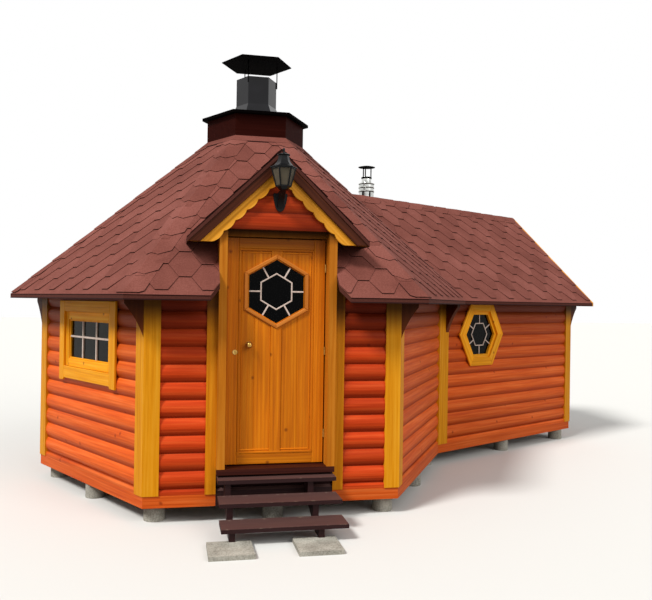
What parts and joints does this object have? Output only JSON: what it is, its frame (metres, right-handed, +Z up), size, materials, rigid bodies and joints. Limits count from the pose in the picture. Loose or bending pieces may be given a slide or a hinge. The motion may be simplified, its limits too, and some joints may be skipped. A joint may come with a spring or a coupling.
{
  "type": "six-sided garden grill hut with sauna annex",
  "caption": "Six-sided timber grill hut with a gabled sauna annex, shingle roof, smoke collar and chimney, porch gable over a panelled door, and steps.",
  "frame": {"origin": "on the ground under the middle of the hexagon, at the foot of the centre pier", "axes": "+Z up, the door faces -Y, +X to the right of someone facing the door"},
  "size_m": [6.6455, 5.7655, 3.9712],
  "materials": {
    "orange_logs": "orange-brown stained half logs, satin",
    "red_logs": "red-brown stained boards, satin",
    "yellow_trim": "honey-yellow stained boards, satin",
    "door_pine": "varnished knotty pine",
    "roof_shingles": "red-brown mineral-coated bitumen shingles on boards, matt",
    "dark_boards": "dark brown stained boards, matt",
    "floor_timber": "plain planed pine",
    "step_timber": "weathered dark brown boards",
    "concrete": "plain cast concrete, rough",
    "black_sheet": "black painted sheet steel, satin",
    "black_iron": "black painted cast metal, satin",
    "stainless": "brushed stainless steel",
    "brass": "worn polished brass",
    "window_glass": "clear glass"
  },
  "bodies": {
    "hut": {"wall_right_front": "orange_logs", "wall_back": "orange_logs", "wall_left_back": "orange_logs", "wall_left_front": "orange_logs", "annex_wall_front": "orange_logs", "annex_wall_back": "orange_logs", "annex_wall_end": "orange_logs", "passage_beam": "orange_logs", "sill_beams": "orange_logs", "wall_front_left": "red_logs", "wall_front_right": "red_logs", "wall_front_below": "red_logs", "porch_gable": "red_logs", "porch_cheeks": "red_logs", "corner_posts": "yellow_trim", "door_planks": "yellow_trim", "door_frame": "yellow_trim", "porch_bargeboards": "yellow_trim", "side_window_trim": "yellow_trim", "annex_window_trim": "yellow_trim", "annex_bargeboards": "yellow_trim", "eave_brackets": "yellow_trim", "door_threshold": "door_pine", "side_window_sash": "door_pine", "annex_window_sash": "door_pine", "roof_front": "roof_shingles", "roof_left_front": "roof_shingles", "roof_left_back": "roof_shingles", "roof_back": "roof_shingles", "roof_right_front": "roof_shingles", "roof_annex_side": "roof_shingles", "annex_roof_front": "roof_shingles", "annex_roof_back": "roof_shingles", "porch_roof_left": "roof_shingles", "porch_roof_right": "roof_shingles", "smoke_collar": "dark_boards", "porch_fascia": "dark_boards", "floor_main": "floor_timber", "floor_annex": "floor_timber", "floor_frame_main": "floor_timber", "floor_frame_annex": "floor_timber", "stair_treads": "step_timber", "stair_stringers": "step_timber", "concrete_piers": "concrete", "step_slabs": "concrete", "collar_rim": "black_sheet", "chimney_pipe": "black_sheet", "chimney_hat": "black_sheet", "lantern_bracket": "black_iron", "lantern_hood": "black_iron", "flue_pipe": "stainless", "flue_cap": "stainless", "jamb_hinges": "brass", "side_window_glass": "window_glass", "annex_window_glass": "window_glass", "lantern_glass": "window_glass"},
    "door": {"door_leaf": "door_pine", "door_glass": "window_glass", "door_knob": "brass", "door_hinges": "brass"}
  },
  "joints": [
    {"name": "door", "type": "hinge", "parent": "hut", "child": "door", "pos_m": [0.378, -1.64541, 0.413], "axis": [0, 0, 1], "range_deg": [0, 90]}
  ]
}
